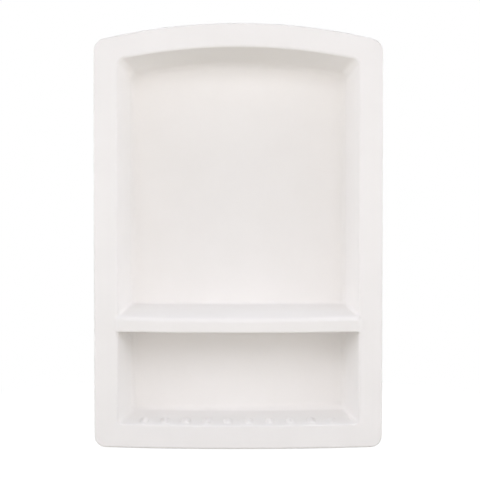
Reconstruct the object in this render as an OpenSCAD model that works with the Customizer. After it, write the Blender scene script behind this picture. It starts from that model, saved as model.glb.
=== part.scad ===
// Recessed shower shelf with a soap compartment, moulded in one piece.
// Units are millimetres. X runs to the right, Y into the wall and Z up.
// The origin is the middle of the flange in the plane of the finished wall,
// so the flange lies in front of Y = 0 and the box lies behind it.

/* [Flange] */
// Width of the flange
flange_w = 387; // [350:1:420]
// Height of the flange from its bowed foot to the crown of its arch
flange_h = 571; // [520:1:640]
// Thickness of the flange in front of the wall
flange_t = 6.5; // [5:0.5:9]
// Width of the flange's face all round the opening
flange_face = 32; // [26:1:42]
// Radius of the arched top edge
arch_r = 790; // [500:10:2000]
// Radius of the slightly bowed bottom edge
foot_r = 6200; // [3000:100:12000]
// Radius of the two upper corners
upper_corner_r = 13; // [10:1:24]
// Radius of the two lower corners
lower_corner_r = 15; // [10:1:24]
// Rounding of the flange's outer edge
rim_r = 3.5; // [1:0.5:4]

/* [Recess] */
// Depth from the flange's face to the back wall of the recess
recess_depth = 98; // [80:1:110]
// Thickness of the moulded wall
wall_t = 6; // [4.5:0.5:7]
// Draft of the side walls and of the arched top, in degrees
wall_draft = 5.5; // [3:0.5:7]
// Slope of the floor down to the front, in degrees
floor_slope = 2; // [1:0.5:4]
// Rounding of the opening's edge
mouth_r = 3.5; // [1:0.5:5]
// Radius of the recess's two upper corners
niche_upper_r = 9; // [6:1:16]
// Radius of the recess's two lower corners
niche_lower_r = 12; // [6:1:18]
// Radius of the fillet round the back wall, seen from inside
back_r = 8; // [4:1:10]
// Radius of the fillet where the box joins the back of the flange
root_r = 3; // [1:0.5:5]

/* [Shelf] */
// Height of the shelf's top above the middle of the flange, at the flange's face
shelf_z = -106; // [-130:1:-60]
// Height of the shelf's front lip, at the flange's face
lip_h = 21; // [18:1:28]
// Slope of the shelf's top down to the front, in degrees
shelf_slope = 4.5; // [1:0.5:6]
// Draft of the shelf's underside, in degrees
under_draft = 3; // [1:0.5:5]
// Distance that the lip stands out of the flange's face at its middle
lip_bow = 20; // [12:1:28]
// Distance that the lip stands out of the flange's face at its ends
lip_end = 4; // [2:0.5:6]
// Length of the lip that laps over the flange, at each end
lip_lap = 3; // [1:0.5:6]
// Radius of the lip's two ends, seen from above
lip_end_r = 7; // [6.5:0.5:12]
// Rounding of the lip's upper front edge
lip_upper_r = 6; // [2:0.5:6]
// Rounding of the lip's lower front edge
lip_lower_r = 2.5; // [1:0.5:4]
// Radius of the fillet between the shelf and the side walls
shelf_side_r = 5; // [3:0.5:8]

/* [Soap ribs] */
// Number of ribs on the floor
rib_count = 10; // [5:1:12]
// Distance from the side of the opening to the middle of the nearest rib
rib_margin = 33; // [26:1:60]
// Width of a rib at the floor
rib_w = 10; // [8:0.5:14]
// Height of a rib above the floor
rib_h = 4; // [2:0.5:4]
// Length of a rib from front to back
rib_l = 32; // [20:1:60]
// Distance from the flange's face to the front end of a rib
rib_setback = 13; // [8:1:24]

/* [Hollow behind the shelf] */
// Wall left between the hollow and the side of the box, at the rear
hollow_side_t = 9; // [7:1:20]
// Radius of the hollow's long edges
hollow_edge_r = 2; // [0.5:0.5:2]
// Radius of the hollow's two front corners, seen from above
hollow_corner_r = 10; // [4:1:20]

/* [Hidden] */

// Steps along the arch, the bowed foot, the bow of the lip, a corner and a fillet
arch_steps = 20;
foot_steps = 8;
bow_steps = 24;
corner_steps = 6;
fillet_steps = 5;
straight_steps = 1;
rib_fn = 20;
// Distance that a cut runs past the face that it opens
lead = 1;
// Smallest radius left where an inset would use up a corner
tight_r = 0.4;
// Depth that a rib is let into the floor
rib_seat = 1.5;

// Planes across the depth: the flange's face, the recess's back wall, the rear
face_y = -flange_t;
back_y = face_y + recess_depth;
rear_y = back_y + wall_t;
// Fillet round the outside of the back wall, which keeps the wall even
rear_r = back_r + wall_t;

// The opening in the plane of the flange's face. An edge is given as its height
// at the middle, the radius of its curve, the radius of its corners and its steps.
opening_hw = flange_w / 2 - flange_face;
opening_top = [flange_h / 2 - flange_face, arch_r - flange_face, niche_upper_r, arch_steps];
opening_foot = [flange_face - flange_h / 2, foot_r - flange_face, niche_lower_r, foot_steps];
flange_top = [flange_h / 2, arch_r, upper_corner_r, arch_steps];
flange_foot = [-flange_h / 2, foot_r, lower_corner_r, foot_steps];

// The lip, seen from above: half its length, its bow and its root in the flange
under_z = shelf_z - lip_h;
lip_hw = opening_hw + lip_lap;
lip_sag = lip_bow - lip_end;
bow_r = (lip_hw * lip_hw + lip_sag * lip_sag) / (2 * lip_sag);
lip_root = flange_t / 4;

// Angles of the steps from one end of a fillet to the other
fillet_angles = [for (i = [0 : fillet_steps]) 90 * i / fillet_steps];

// Half of an outline, from its right side over the edge to its left side.
// A curve of radius 0 stands for a straight edge.
function half_outline(half_w, edge) =
    let (
        top = edge[0],
        curve_r = edge[1],
        corner_r = edge[2],
        steps = edge[3],
        straight = curve_r == 0,
        reach = half_w - corner_r,
        lean = straight ? 0 : asin(reach / (curve_r - corner_r)),
        hub = top - curve_r,
        rise = straight ? top - corner_r : hub + (curve_r - corner_r) * cos(lean),
        turn = 90 - lean
    )
    concat(
        [for (i = [0 : corner_steps]) let (a = 90 - turn * i / corner_steps)
            [reach + corner_r * sin(a), rise + corner_r * cos(a)]],
        [for (i = [1 : 1 : steps - 1]) let (a = lean - 2 * lean * i / steps)
            [curve_r * sin(a), hub + curve_r * cos(a)]],
        [for (i = [0 : corner_steps]) let (a = -lean - turn * i / corner_steps)
            [-reach + corner_r * sin(a), rise + corner_r * cos(a)]]
    );

// A closed outline between an upper and a lower edge
function outline(half_w, upper, lower) =
    concat(
        half_outline(half_w, upper),
        [for (p = half_outline(half_w, [-lower[0], lower[1], lower[2], lower[3]])) -p]
    );

// An edge moved towards the middle of its outline: side is 1 for an upper edge
// and -1 for a lower one, shift keeps the corners and inset takes from them
function moved(edge, side, shift, inset) =
    [
        edge[0] - side * (shift + inset),
        edge[1] == 0 ? 0 : edge[1] - shift - inset,
        max(edge[2] - inset, tight_r),
        edge[3]
    ];

// How far a wall of some draft has come in at a place in the depth
function drawn_in(y, draft) = (y - face_y) * tan(draft);

// Outline of the recess at a place in the depth, inset from its drafted walls
function recess_hw(y, inset) = opening_hw - drawn_in(y, wall_draft) - inset;
function recess_top(y, inset) = moved(opening_top, 1, drawn_in(y, wall_draft), inset);
function recess_foot(y, inset) = moved(opening_foot, -1, drawn_in(y, floor_slope), inset);

// Height of the shelf's top and underside at a place in the depth
function shelf_top(y) = shelf_z + drawn_in(y, shelf_slope);
function shelf_under(y) = under_z - drawn_in(y, under_draft);

// The shelf as a straight edge of a compartment: it keeps its height where the
// mouth flares out, because the lip carries it on in front of the flange
function shelf_edge(z, side, inset) =
    [z - side * max(inset, 0), 0, max(shelf_side_r - inset, tight_r), straight_steps];

// A ring across the depth, from points in X and Z
function ring_at(points, y) = [for (p = points) [p[0], y, p[1]]];

// A closed skin over a row of rings that all have the same number of points
module loft(rings) {
    n = len(rings[0]);
    last = len(rings) - 1;
    skin = [
        for (k = [0 : last - 1]) for (i = [0 : n - 1])
            let (a = k * n + i, b = k * n + (i + 1) % n)
            for (triangle = [[a, b, b + n], [a, b + n, a + n]]) triangle
    ];
    first_cap = [for (i = [n - 1 : -1 : 0]) i];
    last_cap = [for (i = [0 : n - 1]) last * n + i];
    polyhedron([for (ring = rings) for (p = ring) p], concat(skin, [first_cap, last_cap]), convexity = 6);
}

// Depth and inset of the rings that line a compartment: a mouth that flares out
// to the flange's face, the drafted walls, and the fillet into the back wall
mouth_rings = [for (a = fillet_angles) [face_y + mouth_r * (1 - cos(a)), mouth_r * (sin(a) - 1)]];
back_rings = [for (a = fillet_angles) [back_y - back_r * (1 - sin(a)), back_r * (1 - cos(a))]];
niche_rings = concat([[face_y - lead, -mouth_r]], mouth_rings, back_rings);

// Compartment above the shelf, under the arched top
module upper_niche() {
    loft([
        for (r = niche_rings)
            let (y = r[0], inset = r[1], floor = shelf_edge(shelf_top(y), -1, inset))
            ring_at(outline(recess_hw(y, inset), recess_top(y, inset), floor), y)
    ]);
}

// Compartment for soap under the shelf, down to the sloping floor
module lower_niche() {
    loft([
        for (r = niche_rings)
            let (y = r[0], inset = r[1], ceiling = shelf_edge(shelf_under(y), 1, inset))
            ring_at(outline(recess_hw(y, inset), ceiling, recess_foot(y, inset)), y)
    ]);
}

// Outline of the flange, inset from its rim
function flange_outline(inset) =
    outline(flange_w / 2 - inset, moved(flange_top, 1, 0, inset), moved(flange_foot, -1, 0, inset));

// Flange and box, still solid: the rounded rim, the flat back of the flange, the
// fillet at the root of the box, its drafted walls and the fillet round its rear
module case_block() {
    rim_rings = [for (a = fillet_angles) [face_y + rim_r * (1 - cos(a)), rim_r * (1 - sin(a))]];
    root_rings = [for (a = fillet_angles) [root_r * (1 - cos(a)), root_r * (sin(a) - 1) - wall_t]];
    rear_rings = [for (a = fillet_angles) [rear_y - rear_r * (1 - sin(a)), rear_r * (1 - cos(a)) - wall_t]];
    loft(concat(
        [for (r = concat(rim_rings, [[0, 0]])) ring_at(flange_outline(r[1]), r[0])],
        [
            for (r = concat(root_rings, rear_rings))
                let (y = r[0], inset = r[1])
                ring_at(outline(recess_hw(y, inset), recess_top(y, inset), recess_foot(y, inset)), y)
        ]
    ));
}

// A slab with rounded long edges. Its plan is a function of an inset and gives
// points in X and in front of the wall; its two faces are functions of Y.
module slab(plan, underside, top, lower_r, upper_r) {
    lower_rings = [for (a = fillet_angles) [lower_r * (1 - sin(a)), lower_r * (1 - cos(a))]];
    upper_rings = [for (a = fillet_angles) [upper_r * (1 - cos(a)), upper_r * (1 - sin(a))]];
    loft(concat(
        [for (r = lower_rings) [for (p = plan(r[0])) [p[0], -p[1], underside(-p[1]) + r[1]]]],
        [for (r = upper_rings) [for (p = plan(r[0])) [p[0], -p[1], top(-p[1]) - r[1]]]]
    ));
}

// Bow-fronted lip: its underside is level and its top goes on in the shelf's slope
module shelf_lip() {
    front = [lip_bow - face_y, bow_r, lip_end_r, bow_steps];
    root = [lip_root, 0, tight_r, straight_steps];
    slab(
        function(inset) outline(lip_hw - inset, moved(front, 1, 0, inset), root),
        function(y) under_z,
        function(y) shelf_top(y),
        lip_lower_r,
        lip_upper_r
    );
}

// Hollow that runs into the shelf from the rear and keeps its wall even
module shelf_hollow() {
    half_w = recess_hw(rear_y, -wall_t) - hollow_side_t;
    front = [lip_bow - face_y - wall_t, bow_r - wall_t, hollow_corner_r, bow_steps];
    mouth = [-rear_y - lead, 0, tight_r, straight_steps];
    slab(
        function(inset) outline(half_w - inset, moved(front, 1, 0, inset), mouth),
        function(y) shelf_under(y) + wall_t,
        function(y) shelf_top(y) - wall_t,
        hollow_edge_r,
        hollow_edge_r
    );
}

// One round-backed rib that lies along Y from its front end at the origin
module soap_rib() {
    rib_r = (rib_w * rib_w / 4 + rib_h * rib_h) / (2 * rib_h);
    straight_l = rib_l - 2 * rib_r;
    intersection() {
        translate([0, rib_r, rib_h - rib_r]) {
            sphere(r = rib_r, $fn = rib_fn);
            rotate([-90, 0, 0]) cylinder(r = rib_r, h = straight_l, $fn = rib_fn);
            translate([0, straight_l, 0]) sphere(r = rib_r, $fn = rib_fn);
        }
        translate([-rib_w, -rib_w, -rib_seat]) cube([2 * rib_w, rib_l + 2 * rib_w, rib_h + 2 * rib_seat]);
    }
}

// Row of ribs along the front of the floor, each on the floor's own height
module soap_ribs() {
    pitch = 2 * (opening_hw - rib_margin) / (rib_count - 1);
    front_y = face_y + rib_setback;
    for (i = [0 : rib_count - 1]) {
        x = (i - (rib_count - 1) / 2) * pitch;
        foot = recess_foot(front_y, 0);
        floor_z = foot[0] + foot[1] - sqrt(foot[1] * foot[1] - x * x);
        translate([x, front_y, floor_z]) rotate([floor_slope, 0, 0]) soap_rib();
    }
}

// The whole moulding
module recessed_shelf() {
    color("whitesmoke") difference() {
        union() {
            difference() {
                case_block();
                upper_niche();
                lower_niche();
            }
            shelf_lip();
            soap_ribs();
        }
        shelf_hollow();
    }
}

recessed_shelf();
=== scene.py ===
"""A recessed shower shelf with a soap compartment, moulded in one piece.

The moulding is described as a distance field: negative inside the material and positive in the air. Its
parts are joined with fillets and cut with rounded edges, as the mould forms them, and a net of quads is drawn
round the result. Sizes of the moulding are in millimetres in its own frame: X to the right, Y into the wall
and Z up, with the origin in the middle of the flange, in the plane of the finished wall.
"""

import logging
import math
from dataclasses import dataclass, field
from enum import Enum
from typing import Callable

import bpy
import numpy as np
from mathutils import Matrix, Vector


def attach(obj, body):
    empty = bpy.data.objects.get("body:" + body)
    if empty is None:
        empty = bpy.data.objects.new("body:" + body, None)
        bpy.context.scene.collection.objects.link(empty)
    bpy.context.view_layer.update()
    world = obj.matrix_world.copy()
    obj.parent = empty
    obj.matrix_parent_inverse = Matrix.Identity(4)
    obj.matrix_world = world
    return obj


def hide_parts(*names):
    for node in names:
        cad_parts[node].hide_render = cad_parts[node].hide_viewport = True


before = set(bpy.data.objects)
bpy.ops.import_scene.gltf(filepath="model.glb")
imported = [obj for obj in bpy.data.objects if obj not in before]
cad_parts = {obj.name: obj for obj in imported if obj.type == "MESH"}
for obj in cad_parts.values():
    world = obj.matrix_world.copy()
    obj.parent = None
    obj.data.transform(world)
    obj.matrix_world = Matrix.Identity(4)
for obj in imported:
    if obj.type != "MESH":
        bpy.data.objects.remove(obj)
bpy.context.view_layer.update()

LOG = logging.getLogger("recessed_shelf")
NODE = "recessed_shelf"
MM = 0.001
WHITE = (1.0, 1.0, 1.0, 1.0)
NOISE_MEAN = 0.5

Array = np.ndarray
Distance = Callable[[Array, Array, Array], Array]
Stops = list[tuple[float, float]]
Colour = tuple[float, float, float, float]
Triple = tuple[float, float, float]
Settings = dict[str, object]
Inputs = dict[str | int, object]


def joined(a: Array, b: Array, radius: float | Array) -> Array:
    """Join two bodies, with a fillet in the corner between them.

    Args:
        a: Distances to the first body.
        b: Distances to the second body.
        radius: Radius of the fillet.

    Returns:
        Distances to the joined body.
    """
    in_corner = np.hypot(np.maximum(radius - a, 0), np.maximum(radius - b, 0))
    return np.maximum(np.minimum(a, b), radius) - in_corner


def common(a: Array, b: Array, radius: float | Array) -> Array:
    """Keep what two bodies share, with the edge between them rounded.

    Args:
        a: Distances to the first body.
        b: Distances to the second body.
        radius: Radius of the rounded edge.

    Returns:
        Distances to the common body.
    """
    return -joined(-a, -b, radius)


def drawn(distance: Array, angle: float) -> Array:
    """Return how far a face of some draft, in degrees, has moved over a distance."""
    return distance * math.tan(math.radians(angle))


def eased(value: Array, width: float) -> Array:
    """Return a smooth step from 0 to 1 while the value goes from 0 to the width."""
    t = np.clip(value / width, 0, 1)
    return t * t * (3 - 2 * t)


def past_curve(x: Array, height: Array, crown: Array, radius: Array) -> Array:
    """Measure how far points lie past a curve that bends down to both sides.

    Args:
        x: Places across the curve.
        height: Heights along the axis that the curve's crown points to.
        crown: Height of the crown.
        radius: Radius of the curve.

    Returns:
        Distances, negative on the hollow side of the curve.
    """
    return np.hypot(x, height - crown + radius) - radius


@dataclass(frozen=True)
class Edge:
    """Upper or lower edge of an outline: a curve across the middle, and a corner at each end.

    Attributes:
        crown: Height of the curve over the middle, measured outwards.
        radius: Radius of the curve.
        corner: Radius of the two corners.
    """

    crown: float | Array
    radius: float | Array
    corner: float

    def moved_in(self, by: float | Array) -> "Edge":
        """Return the edge moved towards the middle, on the same centre."""
        return Edge(self.crown - by, self.radius - by, self.corner)

    def moved_out(self, by: float) -> "Edge":
        """Return the edge moved outwards on the same centres, with its corners growing."""
        return Edge(self.crown + by, self.radius + by, self.corner + by)


def outline(x: Array, z: Array, half_width: float | Array, upper: Edge, lower: Edge) -> Array:
    """Measure how far points lie outside an outline with straight sides.

    Args:
        x: Places across the outline.
        z: Heights.
        half_width: Half of the distance between the sides.
        upper: Upper edge.
        lower: Lower edge, whose crown is measured downwards.

    Returns:
        Distances, negative inside the outline.
    """
    sides = np.abs(x) - half_width
    topped = common(sides, past_curve(x, z, upper.crown, upper.radius), upper.corner)
    return common(topped, past_curve(x, -z, lower.crown, lower.radius), lower.corner)


@dataclass(frozen=True)
class Flange:
    """Flat flange that lies on the wall, with an arched top and a slightly bowed foot.

    Attributes:
        width: Width over all.
        height: Height from the bowed foot to the crown of the arch.
        thickness: Thickness in front of the wall.
        face: Width of the face round the opening.
        arch_radius: Radius of the arched upper edge.
        foot_radius: Radius of the bowed lower edge.
        upper_corner: Radius of the two upper corners.
        lower_corner: Radius of the two lower corners.
        rim_radius: Rounding of the outer edge.
        back_radius: Rounding of the sharp edge at the wall.
    """

    width: float = 387.0
    height: float = 571.0
    thickness: float = 6.5
    face: float = 32.0
    arch_radius: float = 790.0
    foot_radius: float = 6200.0
    upper_corner: float = 13.0
    lower_corner: float = 15.0
    rim_radius: float = 3.5
    back_radius: float = 0.8

    @property
    def half_width(self) -> float:
        """Half of the width."""
        return self.width / 2

    @property
    def face_y(self) -> float:
        """Place of the face in the depth."""
        return -self.thickness

    @property
    def upper(self) -> Edge:
        """Arched upper edge."""
        return Edge(self.height / 2, self.arch_radius, self.upper_corner)

    @property
    def lower(self) -> Edge:
        """Bowed lower edge."""
        return Edge(self.height / 2, self.foot_radius, self.lower_corner)

    def prism(self, x: Array, y: Array, z: Array) -> Array:
        """Return distances to the flange's outline, run forward without end from the wall."""
        return common(outline(x, z, self.half_width, self.upper, self.lower), y, self.back_radius)


@dataclass(frozen=True)
class Recess:
    """Drafted recess and the box round it that goes into the wall.

    Attributes:
        flange: Flange that the recess opens in.
        depth: Depth from the flange's face to the back wall.
        wall: Thickness of the moulded wall.
        draft: Draft of the side walls and of the arched top, in degrees.
        floor_slope: Slope of the floor down to the front, in degrees.
        mouth_radius: Rounding of the opening's edge.
        foot_mouth_radius: Tighter rounding of that edge along the floor.
        upper_corner: Radius of the two upper corners.
        lower_corner: Radius of the two lower corners.
        back_radius: Fillet round the back wall, seen from inside.
        root_radius: Fillet where the box joins the back of the flange.
    """

    flange: Flange
    depth: float = 98.0
    wall: float = 6.0
    draft: float = 5.5
    floor_slope: float = 2.0
    mouth_radius: float = 3.5
    foot_mouth_radius: float = 2.0
    upper_corner: float = 9.0
    lower_corner: float = 6.0
    back_radius: float = 8.0
    root_radius: float = 3.0

    @property
    def half_width(self) -> float:
        """Half of the opening's width in the plane of the flange's face."""
        return self.flange.half_width - self.flange.face

    @property
    def upper(self) -> Edge:
        """Upper edge of the opening, on the same centre as the flange's arch."""
        edge = self.flange.upper.moved_in(self.flange.face)
        return Edge(edge.crown, edge.radius, self.upper_corner)

    @property
    def lower(self) -> Edge:
        """Lower edge of the opening."""
        edge = self.flange.lower.moved_in(self.flange.face)
        return Edge(edge.crown, edge.radius, self.lower_corner)

    @property
    def back_y(self) -> float:
        """Place of the back wall in the depth."""
        return self.flange.face_y + self.depth

    @property
    def rear_y(self) -> float:
        """Place of the rear of the box in the depth."""
        return self.back_y + self.wall

    def behind_face(self, y: Array) -> Array:
        """Return how far places lie behind the flange's face."""
        return y - self.flange.face_y

    def narrowed(self, y: Array) -> Array:
        """Return how far the side walls and the top have come in at a place in the depth."""
        return drawn(self.behind_face(y), self.draft)

    def raised(self, y: Array) -> Array:
        """Return how far the floor has risen at a place in the depth."""
        return drawn(self.behind_face(y), self.floor_slope)

    def mouth(self, z: Array) -> Array:
        """Return the rounding of the opening's edge at a height."""
        share = eased(z + self.lower.crown, 2 * self.lower_corner)
        return self.foot_mouth_radius + (self.mouth_radius - self.foot_mouth_radius) * share

    def section(self, x: Array, y: Array, z: Array, outset: float) -> Array:
        """Measure how far points lie outside the recess's outline at their depth.

        Args:
            x: Places across.
            y: Places in the depth.
            z: Heights.
            outset: Distance that the outline is moved out.

        Returns:
            Distances, negative inside the outline.
        """
        upper = self.upper.moved_out(outset).moved_in(self.narrowed(y))
        lower = self.lower.moved_out(outset).moved_in(self.raised(y))
        return outline(x, z, self.half_width + outset - self.narrowed(y), upper, lower)

    def cavity(self, x: Array, y: Array, z: Array) -> Array:
        """Return distances to the air in the recess, which runs on in front of the face."""
        return common(self.section(x, y, z, 0.0), y - self.back_y, self.back_radius)

    def box(self, x: Array, y: Array, z: Array) -> Array:
        """Return distances to the outside of the box, which keeps the wall even."""
        return common(self.section(x, y, z, self.wall), y - self.rear_y, self.back_radius + self.wall)


@dataclass(frozen=True)
class Shelf:
    """Shelf across the recess, whose bow-fronted lip stands out of the flange.

    Attributes:
        recess: Recess that the shelf divides.
        height: Height of the top at the flange's face, above the middle of the flange.
        lip_height: Height of the lip at the flange's face.
        slope: Slope of the top down to the front, in degrees.
        under_draft: Draft of the underside, in degrees.
        bow: Distance that the lip stands out at its middle.
        end_stand: Distance that the lip stands out at its ends.
        lap: Length of the lip that laps over the flange, at each end.
        lean: Lean of the lip's front under its rounded upper edge, towards the wall at its foot, in degrees.
        end_radius: Radius of the lip's two ends, seen from above.
        upper_radius: Rounding of the lip's upper front edge.
        lower_radius: Rounding of the lip's lower front edge.
        side_fillet: Fillet between the shelf and the walls of the recess.
        face_fillet: Fillet between the lip and the flange's face.
        hollow_side: Wall left between the hollow and the side of the box, at the rear.
        hollow_edge: Radius of the hollow's long edges.
        hollow_corner: Radius of the hollow's two front corners, seen from above.
        hollow_mouth: Rounding of the hollow's edge in the rear of the box.
        blend: Depth over which the lip's lap turns into the shelf's seat in the walls.
        skin: Wall left outside the shelf's seat.
    """

    recess: Recess
    height: float = -106.0
    lip_height: float = 21.0
    slope: float = 4.5
    under_draft: float = 3.0
    bow: float = 20.0
    end_stand: float = 4.0
    lap: float = 3.0
    lean: float = 6.0
    end_radius: float = 7.0
    upper_radius: float = 6.0
    lower_radius: float = 2.5
    side_fillet: float = 4.0
    face_fillet: float = 3.0
    hollow_side: float = 9.0
    hollow_edge: float = 2.0
    hollow_corner: float = 10.0
    hollow_mouth: float = 1.0
    blend: float = 10.0
    skin: float = 0.5

    @property
    def under_height(self) -> float:
        """Height of the lip's level underside."""
        return self.height - self.lip_height

    @property
    def bow_radius(self) -> float:
        """Radius of the lip's front, seen from above."""
        half, sag = self.recess.half_width + self.lap, self.bow - self.end_stand
        return (half * half + sag * sag) / (2 * sag)

    def above_top(self, y: Array, z: Array) -> Array:
        """Return distances to the plane of the shelf's top."""
        top = self.height + drawn(self.recess.behind_face(y), self.slope)
        return (z - top) * math.cos(math.radians(self.slope))

    def below_underside(self, y: Array, z: Array) -> Array:
        """Return distances to the underside, which is level in front of the flange's face."""
        underside = self.under_height - drawn(np.maximum(self.recess.behind_face(y), 0), self.under_draft)
        return (underside - z) * math.cos(math.radians(self.under_draft))

    def past_front(self, x: Array, y: Array, inset: float | Array) -> Array:
        """Return distances to the bowed front, seen from above, moved back by an inset."""
        front = self.bow - self.recess.flange.face_y - inset
        return past_curve(x, -y, front, self.bow_radius - inset)

    def slab(self, x: Array, y: Array, z: Array) -> Array:
        """Measure how far points lie outside the shelf and its lip, whose sides end inside the walls.

        Args:
            x: Places across.
            y: Places in the depth.
            z: Heights.

        Returns:
            Distances, negative inside the shelf.
        """
        behind = self.recess.behind_face(y)
        seat = self.recess.wall - self.skin
        overlap = self.lap + (seat - self.lap) * eased(behind, self.blend)
        sides = np.abs(x) - self.recess.half_width - overlap + drawn(np.maximum(behind, 0), self.recess.draft)
        leaning = drawn(np.maximum(self.height - self.upper_radius - z, 0), self.lean)
        plan = common(sides, self.past_front(x, y, leaning), self.end_radius)
        topped = common(plan, self.above_top(y, z), self.upper_radius)
        return common(topped, self.below_underside(y, z), self.lower_radius)

    def fillet(self, y: Array) -> Array:
        """Return the radius of the fillet round the shelf: it is smaller in front of the face."""
        share = eased(self.recess.behind_face(y), self.blend)
        return self.face_fillet + (self.side_fillet - self.face_fillet) * share

    def hollow(self, x: Array, y: Array, z: Array) -> Array:
        """Measure how far points lie outside the hollow that runs into the shelf from the rear.

        Args:
            x: Places across.
            y: Places in the depth.
            z: Heights.

        Returns:
            Distances, negative inside the hollow.
        """
        recess, wall = self.recess, self.recess.wall
        half_width = recess.half_width - recess.narrowed(recess.rear_y) + wall - self.hollow_side
        plan = common(np.abs(x) - half_width, self.past_front(x, y, wall), self.hollow_corner)
        topped = common(plan, self.above_top(y, z) + wall, self.hollow_edge)
        return common(topped, self.below_underside(y, z) + wall, self.hollow_edge)


@dataclass(frozen=True)
class SoapRibs:
    """Row of short round-backed ribs along the front of the floor.

    Attributes:
        recess: Recess whose floor carries the ribs.
        count: Number of ribs.
        margin: Distance from the side of the opening to the middle of the nearest rib.
        width: Width of a rib at the floor.
        height: Height of a rib above the floor.
        length: Length of a rib from front to back.
        setback: Distance from the flange's face to the front end of a rib.
        fillet: Fillet round the foot of a rib.
    """

    recess: Recess
    count: int = 10
    margin: float = 33.0
    width: float = 10.0
    height: float = 2.5
    length: float = 32.0
    setback: float = 11.0
    fillet: float = 1.0

    @property
    def pitch(self) -> float:
        """Distance from the middle of a rib to the next."""
        return 2 * (self.recess.half_width - self.margin) / (self.count - 1)

    @property
    def radius(self) -> float:
        """Radius of a rib's round back."""
        return (self.width ** 2 / 4 + self.height ** 2) / (2 * self.height)

    @property
    def front_y(self) -> float:
        """Place of the front ends in the depth."""
        return self.recess.flange.face_y + self.setback

    def ridges(self, x: Array, y: Array, z: Array) -> Array:
        """Measure how far points lie outside the nearest rib, a round-ended bar sunk into the floor.

        Args:
            x: Places across.
            y: Places in the depth.
            z: Heights.

        Returns:
            Distances, negative inside a rib.
        """
        middle = (self.count - 1) / 2
        centre = (np.clip(np.round(x / self.pitch + middle), 0, self.count - 1) - middle) * self.pitch
        lower = self.recess.lower
        bow = lower.radius - np.sqrt(lower.radius ** 2 - centre ** 2)
        floor = bow - lower.crown + self.recess.raised(y)
        spine = np.clip(y, self.front_y + self.radius, self.front_y + self.length - self.radius)
        above = z - floor - self.height + self.radius
        return np.sqrt((x - centre) ** 2 + (y - spine) ** 2 + above ** 2) - self.radius


class Socket:
    """Output of a shader node, on which arithmetic adds Math nodes."""

    def __init__(self, shader: "Shader", source: bpy.types.NodeSocket) -> None:
        """Wrap an output.

        Args:
            shader: Tree that the output belongs to.
            source: The output.
        """
        self.shader = shader
        self.source = source

    def maths(self, operation: str, first: "Socket | float", second: "Socket | float") -> "Socket":
        """Add a Math node.

        Args:
            operation: The node's operation.
            first: Upper value.
            second: Lower value.

        Returns:
            The node's result.
        """
        return self.shader.node("ShaderNodeMath", {"operation": operation}, {0: first, 1: second})["Value"]

    def __add__(self, other: "Socket | float") -> "Socket":
        """Add a value."""
        return self.maths("ADD", self, other)

    def __radd__(self, other: float) -> "Socket":
        """Add to a number."""
        return self.maths("ADD", other, self)

    def __sub__(self, other: "Socket | float") -> "Socket":
        """Subtract a value."""
        return self.maths("SUBTRACT", self, other)

    def __rsub__(self, other: float) -> "Socket":
        """Subtract from a number."""
        return self.maths("SUBTRACT", other, self)

    def __mul__(self, other: "Socket | float") -> "Socket":
        """Multiply by a value."""
        return self.maths("MULTIPLY", self, other)

    def __rmul__(self, other: float) -> "Socket":
        """Multiply a number."""
        return self.maths("MULTIPLY", other, self)

    def __truediv__(self, other: "Socket | float") -> "Socket":
        """Divide by a value."""
        return self.maths("DIVIDE", self, other)

    def __rtruediv__(self, other: float) -> "Socket":
        """Divide a number."""
        return self.maths("DIVIDE", other, self)

    def clipped(self) -> "Socket":
        """Keep the value from 0 to 1."""
        return self.maths("MAXIMUM", self.maths("MINIMUM", self, 1.0), 0.0)


class Node:
    """Shader node whose outputs are taken by name."""

    def __init__(self, shader: "Shader", made: bpy.types.Node) -> None:
        """Wrap a node.

        Args:
            shader: Tree that the node belongs to.
            made: The node.
        """
        self.shader = shader
        self.made = made

    def __getitem__(self, output: str | int) -> Socket:
        """Return an output by its name or number."""
        return Socket(self.shader, self.made.outputs[output])


class Shader:
    """Node tree of a material or of the world."""

    def __init__(self, owner: bpy.types.Material | bpy.types.World) -> None:
        """Start an empty tree.

        Args:
            owner: Material or world that the tree dresses.
        """
        owner.use_nodes = True
        self.tree = owner.node_tree
        self.tree.nodes.clear()

    def node(self, kind: str, settings: Settings, inputs: Inputs) -> Node:
        """Add a node.

        Args:
            kind: Type of the node.
            settings: Its properties, which are set first.
            inputs: Value or link of each socket, by the socket's name or number.

        Returns:
            The node.
        """
        made = self.tree.nodes.new(kind)
        for name, value in settings.items():
            setattr(made, name, value)
        for name, value in inputs.items():
            if isinstance(value, Socket):
                self.tree.links.new(value.source, made.inputs[name])
            else:
                made.inputs[name].default_value = value
        return Node(self, made)

    def noise(self, place: Socket, size: float, detail: float) -> Socket:
        """Return soft noise about its mean, with features of a size in metres and some finer layers."""
        inputs = {"Vector": place, "Scale": 1 / size, "Detail": detail}
        return self.node("ShaderNodeTexNoise", {}, inputs)["Fac"]

    def mixed(self, first: Socket | Colour, second: Socket | Colour, share: Socket) -> Socket:
        """Return a colour between two, by the share of the second."""
        return self.node("ShaderNodeMix", {"data_type": "RGBA"}, {0: share, 6: first, 7: second})[2]

    def blended(self, first: Socket, second: Socket, share: Socket) -> Socket:
        """Return a surface between two, by the share of the second."""
        return self.node("ShaderNodeMixShader", {}, {0: share, 1: first, 2: second})["Shader"]

    def shown(self) -> Socket:
        """Return 1 for rays of the camera, of gloss and of clear bodies, and 0 for the rest."""
        path = self.node("ShaderNodeLightPath", {}, {})
        return (path["Is Camera Ray"] + path["Is Glossy Ray"] + path["Is Transmission Ray"]).clipped()


class Sheen(Enum):
    """How a face of the moulding is left, with its roughness."""

    POLISHED = 0.55
    AS_MOULDED = 0.68


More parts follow.
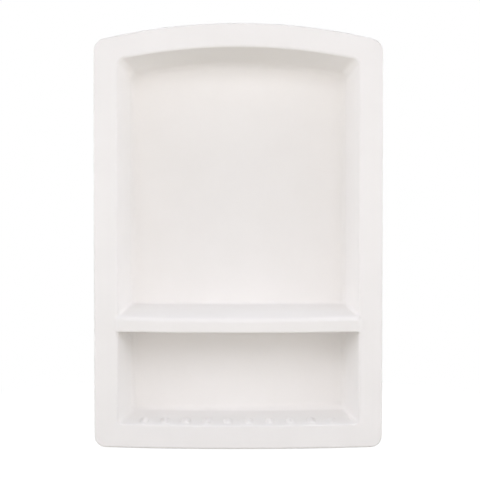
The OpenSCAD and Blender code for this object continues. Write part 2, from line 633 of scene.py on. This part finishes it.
@dataclass(frozen=True)
class Pattern:
    """Noise in the resin, and how it turns from one colour to the next.

    Attributes:
        size: Size of the features, in metres.
        detail: Number of finer layers.
        start: Value of the noise where the next colour starts.
        change: Rise of the noise over which that colour comes in fully.
    """

    size: float
    detail: float
    start: float = 0.0
    change: float = 1.0

    def noise(self, shader: Shader, place: Socket) -> Socket:
        """Return the noise at a place."""
        return shader.noise(place, self.size, self.detail)

    def share(self, noise: Socket) -> Socket:
        """Return the share of the next colour."""
        return ((noise - self.start) / self.change).clipped()


@dataclass(frozen=True)
class SolidSurface:
    """White resin filled with mineral powder, the same all through.

    Attributes:
        sheen: How the face is left.
        relief: Height of the fine relief in the face, in metres.
        colour: Colour of the resin.
        thick_colour: Colour where the powder lies thicker.
        grain_colour: Colour of the coarsest grains.
        clouds: Clouds of powder.
        grains: Coarsest grains.
        ripples: Slow ripples of the face.
        ripple: Height of the ripples, in metres.
        wander: How far the roughness wanders.
    """

    sheen: Sheen
    relief: float
    colour: Colour = (0.926, 0.904, 0.876, 1.0)
    thick_colour: Colour = (0.916, 0.894, 0.865, 1.0)
    grain_colour: Colour = (0.871, 0.846, 0.814, 1.0)
    clouds: Pattern = Pattern(size=0.045, detail=4.0, start=0.35, change=0.3)
    grains: Pattern = Pattern(size=0.0009, detail=2.0, start=0.62, change=0.2)
    ripples: Pattern = Pattern(size=0.012, detail=1.0)
    ripple: float = 0.00002
    wander: float = 0.10

    def material(self) -> bpy.types.Material:
        """Make the material.

        Returns:
            The material.
        """
        material = bpy.data.materials.new("solid_surface_" + self.sheen.name.lower())
        shader = Shader(material)
        place = shader.node("ShaderNodeTexCoord", {}, {})["Object"]
        clouds = self.clouds.noise(shader, place)
        grains = self.grains.noise(shader, place)
        ripples = self.ripples.noise(shader, place)
        resin = shader.mixed(self.colour, self.thick_colour, self.clouds.share(clouds))
        colour = shader.mixed(resin, self.grain_colour, self.grains.share(grains))
        height = grains * self.relief + ripples * self.ripple
        bump = shader.node("ShaderNodeBump", {}, {"Height": height, "Distance": 1.0})
        surface = shader.node("ShaderNodeBsdfPrincipled", {}, {
            "Base Color": colour,
            "Roughness": self.sheen.value + (clouds - NOISE_MEAN) * self.wander,
            "Diffuse Roughness": 1.0,
            "Normal": bump["Normal"],
        })
        shader.node("ShaderNodeOutputMaterial", {}, {"Surface": surface["BSDF"]})
        return material


def graded(stops: Stops) -> Array:
    """Lay lines between stops, with a spacing that changes evenly from each stop to the next.

    Args:
        stops: Places in rising order, each with the spacing of the lines there.

    Returns:
        Places of the lines.
    """
    lines = [stops[0][0]]
    for (start, first), (end, last) in zip(stops, stops[1:]):
        count = max(1, round((end - start) / ((first + last) / 2)))
        steps = np.arange(1, count + 1) / count
        lean = (last - first) / (last + first)
        lines.extend(start + (end - start) * steps * (1 - lean + lean * steps))
    return np.array(lines)


@dataclass(frozen=True)
class Lattice:
    """Grid of lines that lie close together where the moulding bends, and follow its arch.

    Attributes:
        fine: Spacing at rounded edges.
        middling: Spacing at fillets and ribs.
        coarse: Spacing on flat faces.
        gap_share: Spacing halfway between two ribs, as a share of the coarse one.
        face_share: The same on the flange's face beside the opening.
        turn_share: The same where a flat face runs up to a bend.
        reach: Distance that the fine lines run past a bend.
        ease: Height over which the level lines turn into the arch, or into the bow of the foot.
    """

    fine: float = 1.5
    middling: float = 2.0
    coarse: float = 7.0
    gap_share: float = 0.65
    face_share: float = 0.6
    turn_share: float = 0.5
    reach: float = 1.5
    ease: float = 100.0

    def across(self, flange: Flange, recess: Recess, ribs: SoapRibs) -> Array:
        """Lay the lines across the moulding, from left to right.

        Args:
            flange: Flange of the moulding.
            recess: Its recess.
            ribs: Its ribs.

        Returns:
            Places of the lines.
        """
        stops: Stops = [(0.0, self.coarse)]
        for i in range(ribs.count // 2):
            centre = (i + 0.5) * ribs.pitch
            near = ribs.width / 2 + self.reach
            stops += [
                (centre - near - self.reach, self.coarse * self.gap_share),
                (centre - near, self.middling),
                (centre + near, self.middling),
                (centre + near + self.reach, self.coarse * self.gap_share),
            ]
        back = recess.half_width - recess.narrowed(recess.back_y)
        mouth = recess.half_width + recess.mouth_radius + self.reach
        rim = flange.half_width - flange.rim_radius
        stops += [
            (back - recess.back_radius - self.reach, self.coarse * self.turn_share),
            (back - recess.back_radius + self.reach, self.middling),
            (mouth, self.fine),
            (mouth + 2 * recess.mouth_radius, self.coarse * self.face_share),
            (rim - 2 * flange.rim_radius, self.coarse * self.turn_share),
            (rim, self.fine),
            (flange.half_width + self.reach, self.fine),
        ]
        half = graded(stops)
        return np.concatenate([-half[:0:-1], half])

    def deep(self, flange: Flange, recess: Recess, shelf: Shelf, ribs: SoapRibs) -> Array:
        """Lay the lines through the depth, from the lip's front to the rear of the box.

        Args:
            flange: Flange of the moulding.
            recess: Its recess.
            shelf: Its shelf.
            ribs: Its ribs.

        Returns:
            Places of the lines.
        """
        lip = flange.face_y - shelf.bow
        rib_end = ribs.front_y + ribs.length
        return graded([
            (lip - 2 * self.reach, self.middling),
            (flange.face_y - self.reach, self.fine),
            (recess.root_radius + self.reach, self.fine),
            (ribs.front_y + 2 * ribs.radius, self.middling),
            (ribs.front_y + ribs.length / 2, self.coarse),
            (rib_end - ribs.radius, self.middling),
            (rib_end + self.reach, self.middling),
            (rib_end + 2 * ribs.radius, self.coarse),
            (recess.back_y - 2 * recess.back_radius - self.reach, self.coarse),
            (recess.back_y - recess.back_radius - self.reach, self.middling),
            (recess.rear_y + self.reach, self.middling),
        ])

    def high(self, flange: Flange, recess: Recess, shelf: Shelf, ribs: SoapRibs) -> Array:
        """Lay the level lines in the middle of the moulding, from its foot to its crown.

        Args:
            flange: Flange of the moulding.
            recess: Its recess.
            shelf: Its shelf.
            ribs: Its ribs.

        Returns:
            Heights of the lines.
        """
        foot = -flange.lower.crown
        floor = -recess.lower.crown
        box_foot = floor - recess.wall - recess.root_radius
        rib_top = floor + recess.raised(ribs.front_y + ribs.length) + ribs.height
        floor_top = max(rib_top, floor + recess.raised(recess.back_y) + recess.back_radius) + self.reach
        under = shelf.under_height - drawn(recess.depth, shelf.under_draft) - self.reach
        top = shelf.height + drawn(recess.depth, shelf.slope) + self.reach
        ceiling = recess.upper.crown - recess.narrowed(recess.back_y) - recess.back_radius - self.reach
        box_top = recess.upper.crown + recess.wall + recess.root_radius
        crown = flange.upper.crown
        return graded([
            (foot - self.reach, self.fine),
            (foot + flange.rim_radius + self.reach, self.fine),
            (box_foot - 2 * self.reach, self.coarse * self.turn_share),
            (box_foot, self.middling),
            (floor_top, self.middling),
            (floor_top + self.coarse, self.coarse),
            (under - recess.back_radius - self.coarse, self.coarse),
            (under, self.middling),
            (shelf.under_height, self.fine),
            (top, self.middling),
            (top + recess.back_radius, self.middling),
            (top + recess.back_radius + self.coarse, self.coarse),
            (ceiling - self.coarse, self.coarse),
            (ceiling, self.middling),
            (box_top, self.middling),
            (box_top + 2 * self.reach, self.coarse * self.turn_share),
            (crown - flange.rim_radius - self.reach, self.middling),
            (crown + self.reach, self.fine),
        ])

    def heights(self, x: Array, level: Array, upper: Edge, lower: Edge) -> Array:
        """Bend the level lines with the arch above and with the bow of the foot.

        Args:
            x: Places across.
            level: Heights of the lines in the middle.
            upper: Arch that the upper lines follow.
            lower: Bow that the lower lines follow.

        Returns:
            Heights of the lines at the places.
        """
        arch = upper.radius - np.sqrt(upper.radius ** 2 - x * x)
        bow = lower.radius - np.sqrt(lower.radius ** 2 - x * x)
        upward = eased(level - upper.crown + 2 * self.ease, self.ease)
        downward = eased(-level - lower.crown + 2 * self.ease, self.ease)
        return level - upward * arch + downward * bow


class SurfaceNet:
    """Closed skin of quads round a body that is given as a distance field.

    Every cell of the grid that the surface passes through gets one vertex, and every grid line that crosses
    the surface gets one quad between the four cells round it.
    """

    def __init__(self, distance: Distance, points: Array) -> None:
        """Sample the field.

        Args:
            distance: Field that is negative inside the body.
            points: Grid points, with the grid's three axes first and X, Y and Z last.
        """
        self.distance = distance
        self.points = points
        self.values = distance(points[..., 0], points[..., 1], points[..., 2])
        self.inside = self.values < 0

    def vertices(self) -> tuple[Array, Array]:
        """Place a vertex in each cell at the middle of the crossings on the cell's edges.

        Returns:
            The number of each cell's vertex, -1 where it has none, and the places of the vertices.
        """
        cells = np.array(self.inside.shape) - 1
        total = np.zeros((*cells, 3))
        crossings = np.zeros(cells, int)
        for axis in range(3):
            start, end = self.ends(axis)
            crossed = self.inside[start] != self.inside[end]
            fall = np.where(crossed, self.values[start] - self.values[end], 1)
            share = np.where(crossed, self.values[start] / fall, 0)
            place = self.points[start] + share[..., None] * (self.points[end] - self.points[start])
            place *= crossed[..., None]
            for first in (0, 1):
                for second in (0, 1):
                    corner = self.corner(axis, first, second, cells)
                    total[:] += place[corner]
                    crossings += crossed[corner]
        used = crossings > 0
        numbers = np.full(cells, -1)
        numbers[used] = np.arange(np.count_nonzero(used))
        return numbers, total[used] / crossings[used][:, None]

    @staticmethod
    def ends(axis: int) -> tuple[tuple, tuple]:
        """Find both ends of every edge of the grid along an axis.

        Args:
            axis: Axis that the edges run along.

        Returns:
            Slices for the starts and slices for the ends.
        """
        start = tuple(slice(None, -1) if i == axis else slice(None) for i in range(3))
        end = tuple(slice(1, None) if i == axis else slice(None) for i in range(3))
        return start, end

    @staticmethod
    def corner(axis: int, first: int, second: int, cells: Array) -> tuple:
        """Return the slices of a block of cells, shifted or not along the two axes across this one."""
        shift = {(axis + 1) % 3: first, (axis + 2) % 3: second}
        return tuple(slice(shift.get(i, 0), shift.get(i, 0) + cells[i]) for i in range(3))

    def quads(self, numbers: Array) -> Array:
        """Lay a quad between the four cells round each edge that crosses the surface.

        Args:
            numbers: Number of each cell's vertex.

        Returns:
            The four vertices of each quad, in an order that makes it face outwards.
        """
        sheets = []
        for axis in range(3):
            start, end = self.ends(axis)
            inner = tuple(slice(None) if i == axis else slice(1, -1) for i in range(3))
            leaving = self.inside[start][inner] & ~self.inside[end][inner]
            entering = ~self.inside[start][inner] & self.inside[end][inner]
            block = np.array(numbers.shape) - 1
            block[axis] += 1
            ring = [
                numbers[self.corner(axis, first, second, block)]
                for first, second in ((0, 0), (1, 0), (1, 1), (0, 1))
            ]
            faces = np.stack(ring, axis=-1)
            sheets += [faces[leaving], faces[entering][:, ::-1]]
        return np.concatenate(sheets)

    def slope(self, places: Array, step: float = 0.02) -> Array:
        """Measure how the field rises along each axis.

        Args:
            places: Places in the field.
            step: Length of the step to both sides along each axis.

        Returns:
            The gradient at each place.
        """
        slopes = []
        for axis in range(3):
            shift = np.zeros(3)
            shift[axis] = step
            ahead = self.distance(*(places + shift).T)
            behind = self.distance(*(places - shift).T)
            slopes.append((ahead - behind) / (2 * step))
        return np.stack(slopes, axis=-1)

    def settled(self, places: Array, rounds: int = 4, stride: float = 1.0, flattest: float = 0.05) -> Array:
        """Move vertices along the gradient until they lie on the surface.

        Args:
            places: Places of the vertices.
            rounds: Number of moves.
            stride: Longest move of a round.
            flattest: Least square of the gradient that a move is worked out with.

        Returns:
            Places on the surface.
        """
        for _ in range(rounds):
            slope = self.slope(places)
            square = np.maximum((slope ** 2).sum(axis=1), flattest)
            move = np.clip(self.distance(*places.T) / square, -stride, stride)
            places = places - move[:, None] * slope
        return places

    def skin(self) -> tuple[Array, Array, Array]:
        """Draw the skin.

        Returns:
            The places of the vertices, their normals and the quads.
        """
        numbers, places = self.vertices()
        places = self.settled(places)
        slope = self.slope(places)
        normals = slope / np.linalg.norm(slope, axis=1)[:, None]
        return places, normals, self.quads(numbers)


@dataclass
class Moulding:
    """The whole moulding, in one closed skin.

    Attributes:
        flange: Flange that lies on the wall.
        recess: Recess behind it.
        shelf: Shelf across the recess, with its lip.
        ribs: Ribs on the recess's floor.
        lattice: Grid that the skin is drawn on.
    """

    flange: Flange
    recess: Recess
    shelf: Shelf
    ribs: SoapRibs
    lattice: Lattice = field(default_factory=Lattice)

    def distance(self, x: Array, y: Array, z: Array) -> Array:
        """Measure how far points lie outside the material.

        Args:
            x: Places across.
            y: Places in the depth.
            z: Heights.

        Returns:
            Distances in millimetres, negative inside the material.
        """
        return common(self.block(x, y, z), -self.air(x, y, z), self.flange.rim_radius)

    def block(self, x: Array, y: Array, z: Array) -> Array:
        """Return distances to the outside of the flange and the box, with the hollow taken out of them."""
        block = joined(self.flange.prism(x, y, z), self.recess.box(x, y, z), self.recess.root_radius)
        return common(block, -self.shelf.hollow(x, y, z), self.shelf.hollow_mouth)

    def air(self, x: Array, y: Array, z: Array) -> Array:
        """Measure how far points lie from the air in front, which reaches round the shelf and the ribs.

        Args:
            x: Places across.
            y: Places in the depth.
            z: Heights.

        Returns:
            Distances, negative in the air.
        """
        air = joined(self.recess.behind_face(y), self.recess.cavity(x, y, z), self.recess.mouth(z))
        air = common(air, -self.shelf.slab(x, y, z), self.shelf.fillet(y))
        return common(air, -self.ribs.ridges(x, y, z), self.ribs.fillet)

    def grid(self) -> Array:
        """Place the points of the lattice.

        Returns:
            The points, with the grid's three axes first and X, Y and Z last.
        """
        x = self.lattice.across(self.flange, self.recess, self.ribs)
        y = self.lattice.deep(self.flange, self.recess, self.shelf, self.ribs)
        level = self.lattice.high(self.flange, self.recess, self.shelf, self.ribs)
        middle_arch = self.flange.upper.moved_in(self.flange.face / 2)
        height = self.lattice.heights(x[:, None], level[None, :], middle_arch, self.flange.lower)
        shape = (len(x), len(y), len(level))
        return np.stack([
            np.broadcast_to(x[:, None, None], shape),
            np.broadcast_to(y[None, :, None], shape),
            np.broadcast_to(height[:, None, :], shape),
        ], axis=-1)

    def build(self) -> bpy.types.Object:
        """Build the moulding in metres.

        Returns:
            The object.
        """
        places, normals, quads = SurfaceNet(self.distance, self.grid()).skin()
        mesh = bpy.data.meshes.new("shelf_moulding")
        mesh.from_pydata((places * MM).tolist(), [], quads.tolist())
        self.dress(mesh, places[quads].mean(axis=1))
        mesh.shade_smooth()
        mesh.normals_split_custom_set_from_vertices(normals.tolist())
        piece = bpy.data.objects.new("shelf_moulding", mesh)
        bpy.context.scene.collection.objects.link(piece)
        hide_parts(NODE)
        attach(piece, "root")
        LOG.info("shelf_moulding: %d vertices, %d quads", len(places), len(quads))
        return piece

    def dress(self, mesh: bpy.types.Mesh, middles: Array) -> None:
        """Give the mesh its finishes: polished where it shows, and as moulded against the wall and in it.

        Args:
            mesh: Mesh of the moulding.
            middles: Middle of each quad, in millimetres.
        """
        mesh.materials.append(SolidSurface(Sheen.POLISHED, relief=0.000004).material())
        mesh.materials.append(SolidSurface(Sheen.AS_MOULDED, relief=0.00003).material())
        x, y, z = middles.T
        hidden = (self.block(x, y, z) > -self.air(x, y, z)) & (y > -self.flange.back_radius / 2)
        mesh.polygons.foreach_set("material_index", hidden.astype(np.int32))


@dataclass(frozen=True)
class Softbox:
    """Large soft lamp that faces the moulding.

    Attributes:
        name: Name of the lamp.
        place: Place of its middle, in metres.
        size: Width and height, in metres.
        power: Power, in watts.
        colour: Colour of its light.
    """

    name: str
    place: Triple
    size: tuple[float, float]
    power: float
    colour: Triple = (0.98, 0.995, 1.07)

    def build(self) -> None:
        """Build the lamp, which the camera doesn't see."""
        data = bpy.data.lights.new(self.name, "AREA")
        data.shape = "RECTANGLE"
        data.size, data.size_y = self.size
        data.energy = self.power
        data.color = self.colour
        lamp = bpy.data.objects.new(self.name, data)
        lamp.location = self.place
        lamp.rotation_euler = (-Vector(self.place)).to_track_quat("-Z", "Y").to_euler()
        lamp.visible_camera = False
        bpy.context.scene.collection.objects.link(lamp)


@dataclass
class Studio:
    """Pale floor, white surroundings and soft lamps.

    Attributes:
        floor_z: Height of the floor, in metres.
        floor_size: Length of the floor's sides, in metres.
        shade_reach: Distance from the moulding at which its shadow has faded, in metres.
        floor_colour: Colour of the floor.
        bounce_colour: Colour that the floor has for the light it throws back at the moulding.
        floor_roughness: Roughness of the floor.
        lift: Light that the floor adds for the camera.
        ambient: Strength of the light from all round.
        ambient_colour: Colour of that light.
        lamps: The lamps.
    """

    floor_z: float = -0.2865
    floor_size: float = 12.0
    shade_reach: float = 0.7
    floor_colour: Colour = (0.4, 0.4, 0.4, 1.0)
    bounce_colour: Colour = (0.24, 0.21, 0.13, 1.0)
    floor_roughness: float = 0.9
    lift: float = 0.85
    ambient: float = 0.117
    ambient_colour: Colour = (1.0, 0.97, 0.95, 1.0)
    lamps: list[Softbox] = field(default_factory=lambda: [
        Softbox("overhead", (0.0, -0.62, 2.32), (2.4, 0.8), 3.2),
        Softbox("left_front", (-1.8, -2.0, 0.3), (1.8, 1.0), 11.5),
        Softbox("right_front", (1.8, -2.0, 0.3), (1.8, 1.0), 14.1),
        Softbox("left", (-2.4, -0.6, 0.3), (0.7, 1.0), 14.9),
        Softbox("right", (2.4, -0.6, 0.3), (0.7, 1.0), 12.6),
        Softbox("near_high", (0.0, -1.3, 0.55), (1.2, 0.5), 5.1),
        Softbox("near_low", (0.0, -1.3, -0.12), (1.2, 0.25), 3.8),
        Softbox("left_rear", (-1.8, 2.0, 1.1), (1.6, 1.4), 34.0),
        Softbox("right_rear", (1.8, 2.0, 1.1), (1.6, 1.4), 34.0),
    ])

    def build(self) -> None:
        """Build the floor, the surroundings and the lamps."""
        self.build_floor()
        self.build_world()
        for lamp in self.lamps:
            lamp.build()
        LOG.info("studio: floor at %.4f m, %d lamps", self.floor_z, len(self.lamps))

    def build_floor(self) -> None:
        """Build the floor, which reads white but keeps the moulding's shadow."""
        half = self.floor_size / 2
        mesh = bpy.data.meshes.new("floor")
        corners = [(-half, -half), (half, -half), (half, half), (-half, half)]
        mesh.from_pydata([(x, y, self.floor_z) for x, y in corners], [], [(0, 1, 2, 3)])
        mesh.materials.append(self.floor_material())
        floor = bpy.data.objects.new("floor", mesh)
        bpy.context.scene.collection.objects.link(floor)

    def floor_material(self) -> bpy.types.Material:
        """Make the floor's material: matte, and lifted to white for the camera away from the moulding.

        Returns:
            The material.
        """
        material = bpy.data.materials.new("floor")
        shader = Shader(material)
        place = shader.node("ShaderNodeTexCoord", {}, {})["Object"]
        distance = shader.node("ShaderNodeVectorMath", {"operation": "LENGTH"}, {0: place})["Value"]
        matte, bounce = (
            shader.node("ShaderNodeBsdfPrincipled", {}, {
                "Base Color": colour,
                "Roughness": self.floor_roughness,
            })
            for colour in (self.floor_colour, self.bounce_colour)
        )
        lift = shader.node("ShaderNodeEmission", {}, {"Strength": self.lift})
        white = shader.node("ShaderNodeEmission", {}, {"Strength": 1.0})
        near = shader.node("ShaderNodeAddShader", {}, {0: matte["BSDF"], 1: lift["Emission"]})
        fade = (distance / self.shade_reach).clipped()
        floor = shader.blended(near["Shader"], white["Emission"], fade)
        both = shader.blended(bounce["BSDF"], floor, shader.shown())
        shader.node("ShaderNodeOutputMaterial", {}, {"Surface": both})
        return material

    def build_world(self) -> None:
        """Build the surroundings: even light, which the camera sees as white."""
        world = bpy.data.worlds.new("studio")
        shader = Shader(world)
        even, white = (
            shader.node("ShaderNodeBackground", {}, {"Color": colour, "Strength": strength})
            for colour, strength in ((self.ambient_colour, self.ambient), (WHITE, 1.0))
        )
        both = shader.blended(even["Background"], white["Background"], shader.shown())
        shader.node("ShaderNodeOutputWorld", {}, {"Surface": both})
        bpy.context.scene.world = world


@dataclass(frozen=True)
class Viewpoint:
    """Camera in front of the moulding, a little above its middle.

    Attributes:
        distance: Distance from the middle of the flange's face, in metres.
        pitch: Angle that it looks down, in degrees.
        lens: Focal length, in millimetres.
        sensor: Width of the sensor, in millimetres.
        shift: Shift of the picture across and upwards, as shares of its width.
        sight: Distance that the camera sees, in metres.
    """

    distance: float = 1.5
    pitch: float = 1.5
    lens: float = 84.16
    sensor: float = 36.0
    shift: tuple[float, float] = (0.0037, -0.0062)
    sight: float = 50.0

    def build(self, flange: Flange) -> None:
        """Build the camera and make it the scene's.

        Args:
            flange: Flange whose face the camera looks at.
        """
        data = bpy.data.cameras.new("camera")
        data.lens = self.lens
        data.sensor_width = self.sensor
        data.shift_x, data.shift_y = self.shift
        data.clip_end = self.sight
        camera = bpy.data.objects.new("camera", data)
        pitch = math.radians(self.pitch)
        face = flange.face_y * MM
        camera.location = (0.0, face - self.distance * math.cos(pitch), self.distance * math.sin(pitch))
        camera.rotation_euler = (math.pi / 2 - pitch, 0.0, 0.0)
        bpy.context.scene.collection.objects.link(camera)
        bpy.context.scene.camera = camera


def main() -> None:
    """Build the camera, the moulding and the studio, in that order."""
    logging.basicConfig(level=logging.INFO)
    flange = Flange()
    recess = Recess(flange)
    Viewpoint().build(flange)
    Moulding(flange, recess, Shelf(recess), SoapRibs(recess)).build()
    Studio().build()
    bpy.context.scene.view_settings.view_transform = "Standard"


if __name__ == "__main__":
    main()
